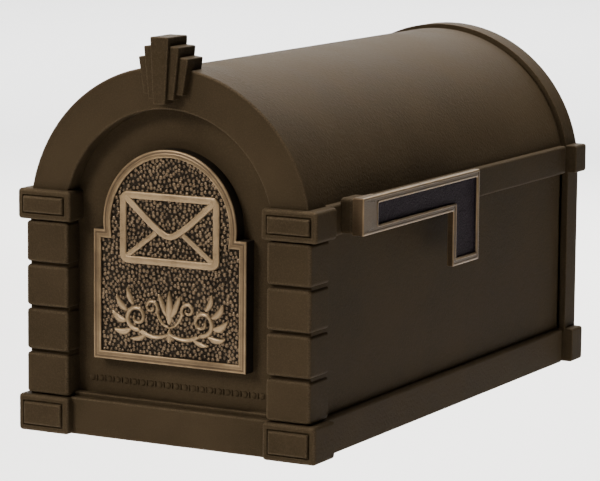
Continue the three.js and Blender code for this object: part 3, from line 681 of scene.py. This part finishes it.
# plaque
# the border's section is (inset, depth behind the front, rim), its inner part from the field's edge
plaqueValues = {
    "half": 71.5, "bottom": 66, "shoulder": 173.3, "neck": 62.5, "centre": 180,
    "back": -245.3, "front": -258, "field": -255.5, "border": 7.0,
    "outerSection": ((0, 1.4, 0), (0.25, 0.6, 0.6), (0.8, 0.15, 1), (1.5, 0, 0.5), (2.0, 0, 0),
                     (2.5, 0.45, 0), (3.0, 0.45, 0), (3.5, 0, 0.5), (4.3, 0, 0.2)),
    "innerSection": ((-1.3, 0, 0.5), (-0.5, 0.3, 1), (-0.1, 1.0, 0.3), (0, 1.6, 0)),
}


def plaqueOutline(v):
    half, low, high = v["half"], v["bottom"], v["shoulder"]
    drop = math.degrees(math.asin((v["centre"] - high) / v["neck"]))
    crown = arc(v["neck"], -drop, 180 + drop, 72, (0, v["centre"]))
    return turned([(-half, low), (half, low), (half, high)] + crown + [(-half, high)])


def makePlaque(v):
    shape = newShape()
    border, front = v["border"], v["front"]
    levels = [(0, v["back"], 0)]
    levels += [(i, front + depth, rim) for i, depth, rim in v["outerSection"]]
    levels += [(border + i, front + depth, rim) for i, depth, rim in v["innerSection"]]
    levels += [(border, v["field"], 0)]
    bands = [1] + [0] * (len(levels) - 3) + [1]
    relief(shape, plaqueOutline(v), levels, low=1, high=1, bands=bands)
    return shape


plaquePiece = makeObject("plaqueCasting", makePlaque(plaqueValues), [brass, ground])
assign(plaquePiece, "door_leaf", "aged_brass", "plaque")


# brass on the crowns, blackened down on the ground. black, bright and ragged are depths in metres
raisedValues = {"black": -0.2558, "ragged": 0.0002, "raggedScale": 500, "tar": (0.012, 0.009, 0.006)}


def makeRaisedBrass(name, bright, values, v):
    material = makeMetal(name, values)
    tree = material.node_tree
    shader = next(n for n in tree.nodes if n.type == "BSDF_PRINCIPLED")
    source = shader.inputs["Base Color"].links[0].from_socket
    coords = next(n for n in tree.nodes if n.type == "TEX_COORD").outputs["Object"]
    split = tree.nodes.new("ShaderNodeSeparateXYZ")
    tree.links.new(coords, split.inputs["Vector"])
    wander = ranged(tree, noise(tree, coords, v["raggedScale"], 3), -v["ragged"], v["ragged"], 0.3, 0.7)
    ragged = maths(tree, "ADD", split.outputs["Y"], wander)
    depth = ranged(tree, ragged, 0.0, 1.0, bright, v["black"])
    tree.links.new(mixed(tree, depth, source, v["tar"]), shader.inputs["Base Color"])
    return material


# envelope and leaf scroll, raised on the ground
motifValues = {
    "ground": -255.5, "height": 2.5,
    "frame": (-43.5, 150.5, 43.5, 203.5), "frameCorner": 4.5, "frameWidth": 3.1,
    # the flap is measured in from a top corner, the fold from the middle of the lower side
    # flapTip is the pull of the curve and the tip's height over the lower side
    "flap": ((2.5, 2.2), (6, 5), (20, 17)), "flapTip": (8, 21), "flapWidth": 2.7,
    "fold": ((40.6, 2.4), (12.5, 23.5)), "foldShare": 0.82,
    # each vine is a curve, the coil it ends in and (widest, height, thinnest, where it is widest)
    "vines": (
        (((0, 92), (10, 86), (22, 88), (28, 93), 16), (30.5, 103.5, 10.8, 2.6, -104, 380, 60),
         (2.3, 2.5, 0.9, 0.25)),
        (((0, 97), (7, 98), (10, 104), (11.5, 109), 10), (17.2, 112.5, 6.3, 1.8, 213, -200, 34),
         (1.7, 2.2, 0.7, 0.35)),
    ),
    # each leaf is a curve, its widest and its height
    "leaves": (
        (((40.5, 100), (46, 99), (50, 101), (54, 107), 14), 3.4, 2.4),
        (((39, 108.5), (45, 110), (48, 114), (50, 120.5), 14), 3.3, 2.4),
        (((33.5, 113.5), (37, 117), (39, 121), (39.5, 127.5), 14), 3.0, 2.4),
        (((36, 93.5), (41, 89.5), (47, 89), (52, 92.5), 14), 3.0, 2.4),
        (((22, 90.5), (26, 86), (31, 84.5), (37, 85.5), 14), 2.5, 2.4),
        (((1.5, 106), (5, 110), (7, 118), (10.5, 124), 12), 3.0, 2.5),
    ),
    # two leaves on the middle line, one up and one down: start, pitch, count, widest, where, height
    "spine": ((99, 2.4, 13, 4.0, 0.4, 2.7), (97, -1.3, 11, 3.4, 0.6, 2.4)),
}


def flatSection(height, edge=0.28):
    half = [(-1, -0.3, 0), (-1, height * 0.55, 0.0), (-1 + edge * 0.35, height * 0.88, 0.8),
            (-1 + edge, height, 0.6)]
    return half + [(-share, h, rim) for share, h, rim in reversed(half)]


def roundSection(height):
    half = [(-1, -0.3, 0), (-0.92, height * 0.35, 0), (-0.6, height * 0.8, 0.5)]
    return half + [(0, height, 1)] + [(-share, h, rim) for share, h, rim in reversed(half)]


def bezier(p0, p1, p2, p3, steps):
    out = []
    for k in range(steps + 1):
        t = k / steps
        a, b, c, d = (1 - t) ** 3, 3 * t * (1 - t) ** 2, 3 * t * t * (1 - t), t ** 3
        out.append(tuple(a * p0[i] + b * p1[i] + c * p2[i] + d * p3[i] for i in (0, 1)))
    return out


# half widths along a leaf, thin at both ends and widest at peak
def leafWidths(count, widest, peak, tip=0.25, swell=0.8):
    out = []
    for k in range(count):
        t = k / (count - 1)
        w = math.sin(math.pi * t ** (math.log(0.5) / math.log(peak)))
        out.append(tip + (widest - tip) * max(w, 0) ** swell)
    return out


def makeMotifs(v):
    shape = newShape()
    level, height = v["ground"], v["height"]

    # the envelope: frame, flap and two folds
    x0, z0, x1, z1 = v["frame"]
    around = fillet(rectangle(x0, z0, x1, z1), v["frameCorner"], 5)
    strip(shape, around, v["frameWidth"], flatSection(height), level, closed=True)
    pull, up = v["flapTip"]
    tip = ((x0 + x1) / 2, z0 + up)
    left = [(x0 + a, z1 - b) for a, b in v["flap"]]
    right = [(x1 - a, z1 - b) for a, b in v["flap"]]
    flap = left[:1] + bezier(left[1], left[2], (tip[0] - pull, tip[1]), tip, 10)
    flap += bezier(tip, (tip[0] + pull, tip[1]), right[2], right[1], 10)[1:] + right[:1]
    strip(shape, flap, v["flapWidth"], flatSection(height + 0.15), level)
    for s in (-1, 1):
        fold = [(s * a, z0 + b) for a, b in v["fold"]]
        strip(shape, fold, v["flapWidth"] * v["foldShare"], flatSection(height - 0.35), level)

    def line(points, widest, high, thin=0.45, peak=0.45):
        widths = [thin + (widest - thin) * w / widest for w in leafWidths(len(points), widest, peak)]
        strip(shape, points, widths, roundSection(high), level)

    for s in (-1, 1):
        for curve, coil, sizes in v["vines"]:
            line([(s * x, z) for x, z in bezier(*curve) + spiral(*coil)], *sizes)
        for curve, widest, high in v["leaves"]:
            line([(s * x, z) for x, z in bezier(*curve)], widest, high)
    for start, pitch, count, widest, peak, high in v["spine"]:
        upright = [(0, start + pitch * k) for k in range(count)]
        strip(shape, upright, leafWidths(count, widest, peak), roundSection(high), level)
    return shape


motifBrassValues = dict(
    brassValues, dark=(0.110, 0.075, 0.042), light=(0.150, 0.105, 0.060), roughLow=0.28, roughHigh=0.40)
motifBrass = makeRaisedBrass("motifBrass", -0.2569, motifBrassValues, raisedValues)
motifPiece = makeObject("plaqueMotifs", makeMotifs(motifValues), [motifBrass], weighted=False)
assign(motifPiece, "door_leaf", "aged_brass")
print("plaque made")


# pebbles and beads, by Geometry Nodes
def nodeGroup(name, values):
    group = bpy.data.node_groups.new(name, "GeometryNodeTree")
    group.interface.new_socket("Geometry", in_out="INPUT", socket_type="NodeSocketGeometry")
    for label, value in values.items():
        kind = "NodeSocketInt" if isinstance(value, int) else "NodeSocketFloat"
        group.interface.new_socket(label, in_out="INPUT", socket_type=kind)
    group.interface.new_socket("Geometry", in_out="OUTPUT", socket_type="NodeSocketGeometry")
    return group, group.nodes.new("NodeGroupInput"), group.nodes.new("NodeGroupOutput")


# one flat face for a node group to start from
def flatShape(points):
    return {"points": points, "faces": [tuple(range(len(points)))], "rims": [0] * len(points), "kinds": [0]}


# runs a node group on a piece, keeps its result as a plain mesh and takes the modifier off
def settle(piece, group, values, material):
    modifier = piece.modifiers.new("scatter", "NODES")
    modifier.node_group = group
    for item in group.interface.items_tree:
        if item.item_type == "SOCKET" and item.in_out == "INPUT" and item.name in values:
            modifier[item.identifier] = values[item.name]
    piece.update_tag()
    bpy.context.view_layer.update()
    mesh = bpy.data.meshes.new_from_object(piece.evaluated_get(bpy.context.evaluated_depsgraph_get()))
    piece.modifiers.clear()
    piece.data = mesh
    mesh.name = piece.name
    mesh.materials.clear()
    mesh.materials.append(material)
    for polygon in mesh.polygons:
        polygon.use_smooth = True


pebbleValues = {"Spacing": 0.0029, "Density": 1900000.0, "Seed": 11, "Radius": 0.0020, "Flatness": 0.68}
pebbleHome = {"margin": 8.2, "level": -255.3, "smallest": 0.78, "largest": 1.12, "tilt": 0.12, "turn": 3.14}


def pebbleGroup(material, values, home):
    group, start, end = nodeGroup("pebbles", values)
    nodes, links = group.nodes, group.links
    points = nodes.new("GeometryNodeDistributePointsOnFaces")
    points.distribute_method = "POISSON"
    links.new(start.outputs["Geometry"], points.inputs["Mesh"])
    links.new(start.outputs["Spacing"], points.inputs["Distance Min"])
    links.new(start.outputs["Density"], points.inputs["Density Max"])
    links.new(start.outputs["Seed"], points.inputs["Seed"])
    ball = nodes.new("GeometryNodeMeshIcoSphere")
    ball.inputs["Subdivisions"].default_value = 2
    links.new(start.outputs["Radius"], ball.inputs["Radius"])
    squash = nodes.new("ShaderNodeCombineXYZ")
    squash.inputs["X"].default_value = 1.0
    squash.inputs["Z"].default_value = 1.0
    links.new(start.outputs["Flatness"], squash.inputs["Y"])
    size = nodes.new("FunctionNodeRandomValue")
    size.data_type = "FLOAT"
    size.inputs["Min"].default_value = home["smallest"]
    size.inputs["Max"].default_value = home["largest"]
    links.new(start.outputs["Seed"], size.inputs["Seed"])
    scale = nodes.new("ShaderNodeVectorMath")
    scale.operation = "SCALE"
    links.new(squash.outputs["Vector"], scale.inputs[0])
    links.new(size.outputs["Value"], scale.inputs["Scale"])
    spin = nodes.new("FunctionNodeRandomValue")
    spin.data_type = "FLOAT_VECTOR"
    spin.inputs["Min"].default_value = (-home["tilt"], -home["turn"], -home["tilt"])
    spin.inputs["Max"].default_value = (home["tilt"], home["turn"], home["tilt"])
    onto = nodes.new("GeometryNodeInstanceOnPoints")
    links.new(points.outputs["Points"], onto.inputs["Points"])
    links.new(ball.outputs["Mesh"], onto.inputs["Instance"])
    links.new(scale.outputs["Vector"], onto.inputs["Scale"])
    links.new(spin.outputs["Value"], onto.inputs["Rotation"])
    real = nodes.new("GeometryNodeRealizeInstances")
    colour = nodes.new("GeometryNodeSetMaterial")
    colour.inputs["Material"].default_value = material
    links.new(onto.outputs["Instances"], real.inputs["Geometry"])
    links.new(real.outputs["Geometry"], colour.inputs["Geometry"])
    links.new(colour.outputs["Geometry"], end.inputs["Geometry"])
    return group


pebbleBrassValues = dict(
    brassValues, dark=(0.088, 0.060, 0.035), light=(0.128, 0.090, 0.054), roughLow=0.24, roughHigh=0.38,
    brushScale=(900, 900, 900), streak=0.7)
pebbleBrass = makeRaisedBrass("pebbleBrass", -0.2566, pebbleBrassValues, raisedValues)
pebbleOutline = inset(plaqueOutline(plaqueValues), pebbleHome["margin"])
pebbleField = flatShape([(u, pebbleHome["level"], v) for u, v in pebbleOutline])
pebbles = makeObject("plaquePebbles", pebbleField, [pebbleBrass], weighted=False)
settle(pebbles, pebbleGroup(pebbleBrass, pebbleValues, pebbleHome), pebbleValues, pebbleBrass)
assign(pebbles, "door_leaf", "aged_brass")
print("pebbles made,", len(pebbles.data.polygons), "faces")

beadValues = {"Count": 21, "Pitch": 0.0080, "Radius": 0.0027, "Flatness": 0.5}
beadHome = {"start": (-0.080, -0.2450, 0.0468), "reel": 0.34}


# a row of low beads with a narrow upright reel between each two
def beadGroup(material, values, home):
    group, start, end = nodeGroup("beads", values)
    nodes, links = group.nodes, group.links
    step = nodes.new("ShaderNodeCombineXYZ")
    links.new(start.outputs["Pitch"], step.inputs["X"])
    ball = nodes.new("GeometryNodeMeshIcoSphere")
    ball.inputs["Subdivisions"].default_value = 3
    links.new(start.outputs["Radius"], ball.inputs["Radius"])
    gather = nodes.new("GeometryNodeJoinGeometry")
    x, y, z = home["start"]
    for across, shift in ((1.0, 0.0), (home["reel"], values["Pitch"] / 2)):
        line = nodes.new("GeometryNodeMeshLine")
        links.new(start.outputs["Count"], line.inputs["Count"])
        links.new(step.outputs["Vector"], line.inputs["Offset"])
        line.inputs["Start Location"].default_value = (x + shift, y, z)
        shape = nodes.new("ShaderNodeCombineXYZ")
        shape.inputs["X"].default_value = across
        shape.inputs["Z"].default_value = 1.0
        links.new(start.outputs["Flatness"], shape.inputs["Y"])
        onto = nodes.new("GeometryNodeInstanceOnPoints")
        links.new(line.outputs["Mesh"], onto.inputs["Points"])
        links.new(ball.outputs["Mesh"], onto.inputs["Instance"])
        links.new(shape.outputs["Vector"], onto.inputs["Scale"])
        links.new(onto.outputs["Instances"], gather.inputs["Geometry"])
    real = nodes.new("GeometryNodeRealizeInstances")
    colour = nodes.new("GeometryNodeSetMaterial")
    colour.inputs["Material"].default_value = material
    links.new(gather.outputs["Geometry"], real.inputs["Geometry"])
    links.new(real.outputs["Geometry"], colour.inputs["Geometry"])
    links.new(colour.outputs["Geometry"], end.inputs["Geometry"])
    return group


beadSeed = flatShape([(0, -245, 46), (1, -245, 46), (0, -245, 47)])
beads = makeObject("panelBeads", beadSeed, [paint], weighted=False)
settle(beads, beadGroup(paint, beadValues, beadHome), beadValues, paint)
assign(beads, "door_leaf", "bronze_paint")
print("beads made")


# flag and bracket
# the border's sections are (inset, depth behind the outside, rim), from the outer and the inner outline
flagValues = {
    "inside": 141.9, "thin": 146.0, "outside": 151.95, "endBlock": -181, "endDepth": 3, "tuck": 0.02,
    "arm": (-211, 177.8, 7.5, 208.4), "leg": (-43.5, 130.6), "corner": 1.25, "edge": 1.1, "backEdge": 0.8,
    "border": 6.5, "rearBorder": 4.9, "fieldStart": -184, "fieldCorner": 0.9, "sunk": 2.6,
    "outerSection": ((1.9, 0, 0.5), (2.4, 0.5, 0)),
    "innerSection": ((-2.2, 0.5, 0), (-1.7, 0, 0.5), (-0.8, 0, 0.4), (-0.3, 0.3, 1), (0, 1.1, 0.2)),
}


def flagOutline(front, low, back, high, legFront, legLow):
    return [(front, low), (legFront, low), (legFront, legLow), (back, legLow), (back, high), (front, high)]


def makeFlag(v):
    shape = newShape()
    y0, z0, y1, z1 = v["arm"]
    legFront, legLow = v["leg"]
    b, x = v["border"], v["outside"]
    outer = fillet(flagOutline(y0, z0, y1, z1, legFront, legLow), v["corner"])
    sunk = flagOutline(v["fieldStart"], z0 + b, y1 - v["rearBorder"], z1 - b, legFront + b, legLow + b)
    inner = fillet(sunk, v["fieldCorner"])
    levels = roundingBack(x, v["thin"], v["backEdge"]) + rounding(v["thin"], x, v["edge"], 3)
    loops = [(inset(outer, i), h, rim) for i, h, rim in levels]
    loops += [(inset(outer, i), x - depth, rim) for i, depth, rim in v["outerSection"]]
    loops += [(inset(inner, i), x - depth, rim) for i, depth, rim in v["innerSection"]]
    loops += [(inner, x - v["sunk"], 0)]
    addLoops(shape, loops, sidePlace, high=1, bands=[0] * (len(loops) - 2) + [1])
    # the thick block at the front end
    tuck = v["tuck"]
    end = fillet(rectangle(y0 + tuck, z0 + tuck, v["endBlock"], z1 - tuck), v["corner"])
    levels = roundingBack(x, v["inside"], v["backEdge"]) + [(0, v["thin"] + v["endDepth"], 0)]
    relief(shape, end, levels, sidePlace)
    return shape


flagPiece = makeObject("flagCasting", makeFlag(flagValues), [brass, field])
assign(flagPiece, "carrier_flag", "aged_brass", "flag")

bracketValues = {
    "inside": 130.8, "outside": 141.55, "span": (-210, 178.4, -181, 207.2), "edge": 2.6, "corner": 3.2,
}


def makeBracket(v):
    shape = newShape()
    block(shape, rectangle(*v["span"]), v["inside"], v["outside"], v["edge"], corner=v["corner"],
          place=sidePlace)
    return shape


bracketPiece = makeObject("flagBracketCasting", makeBracket(bracketValues), [paint])
assign(bracketPiece, "box", "bronze_paint", "flag_bracket")
print("flag made")


# finish of the carried-over parts
finishes = {
    "bronze_paint": paint, "aged_brass": brass, "galvanised_sheet": spangle, "zinc_steel": zinc,
    "stainless": stainless, "ferrite": ferrite, "nylon": nylon,
}
for row in frame["record"]["subparts"]:
    node = frame["nodes"][row["node"]]
    if not node.hide_render:
        if not node.material_slots:
            node.data.materials.append(None)
        for holder in node.material_slots:
            holder.material = finishes[row["material_slot"]]
print("carried-over parts finished")


# floor, light and camera
# the box hangs on its post, so the floor lies well below it and the door can swing down
floorValues = {
    "half": 22.0, "level": -0.30, "colour": (0.95, 0.95, 0.945), "warm": (0.965, 0.96, 0.955),
    "cloudScale": 1.2, "roughness": 0.9, "specular": 0.1,
}


def makeFloor(v):
    material, tree, shader, coords = startMaterial("paleFloor")
    cloud = noise(tree, coords, v["cloudScale"], 3)
    base = mixed(tree, ranged(tree, cloud, 0, 1, 0.3, 0.7), v["colour"], v["warm"])
    tree.links.new(base, shader.inputs["Base Color"])
    shader.inputs["Roughness"].default_value = v["roughness"]
    shader.inputs["Specular IOR Level"].default_value = v["specular"]
    mesh = bpy.data.meshes.new("floor")
    h, z = v["half"], v["level"]
    mesh.from_pydata([(-h, -h, z), (h, -h, z), (h, h, z), (-h, h, z)], [], [(0, 1, 2, 3)])
    mesh.materials.append(material)
    floor = bpy.data.objects.new("floor", mesh)
    bpy.context.scene.collection.objects.link(floor)


makeFloor(floorValues)

worldValues = {"Color": (1.0, 0.995, 0.985, 1), "Strength": 0.07}
world = bpy.data.worlds.new("studio")
world.use_nodes = True
for label, value in worldValues.items():
    world.node_tree.nodes["Background"].inputs[label].default_value = value
bpy.context.scene.world = world

lights = (
    # name, place, aim, size across, size along, power, colour
    ("overhead", (0.05, 0.35, 2.4), (0.05, 0.1, 0.2), 0.4, 2.6, 220, (1.0, 0.985, 0.97)),
    ("front", (-1.4, -3.0, 2.1), (0, -0.2, 0.15), 1.2, 1.2, 208, (1.0, 0.97, 0.93)),
    ("rear", (-1.1, 3.1, 1.7), (0, 0.0, 0.25), 3.0, 1.8, 118, (1.0, 0.95, 0.88)),
    ("backdrop", (-3.2, 6.2, 3.6), (-3.2, 6.2, 0), 7.0, 8.0, 620, (1.0, 1.0, 1.0)),
)
for name, at, aim, across, along, power, colour in lights:
    data = bpy.data.lights.new(name, "AREA")
    data.shape = "RECTANGLE"
    data.size, data.size_y = across, along
    data.energy = power
    data.color = colour
    if name == "backdrop":
        data.spread = math.radians(95)
    lamp = bpy.data.objects.new(name, data)
    lamp.location = at
    lamp.rotation_euler = (Vector(aim) - Vector(at)).to_track_quat("-Z", "Y").to_euler()
    bpy.context.scene.collection.objects.link(lamp)

cameraValues = {
    "place": (1.2675, -2.3989, 0.5480), "right": (0.88072, 0.47354, 0.00863),
    "up": (-0.07874, 0.12843, 0.98859), "back": (0.46703, -0.87136, 0.15040), "lens": 187.24,
    "sensor": 36, "farthest": 60,
}
cameraData = bpy.data.cameras.new("camera")
cameraData.sensor_fit = "HORIZONTAL"
cameraData.sensor_width = cameraValues["sensor"]
cameraData.lens = cameraValues["lens"]
cameraData.clip_end = cameraValues["farthest"]
camera = bpy.data.objects.new("camera", cameraData)
turn = Matrix([cameraValues["right"], cameraValues["up"], cameraValues["back"]]).transposed()
camera.matrix_world = Matrix.Translation(cameraValues["place"]) @ turn.to_4x4()
bpy.context.scene.collection.objects.link(camera)
bpy.context.scene.camera = camera
print("stage set")
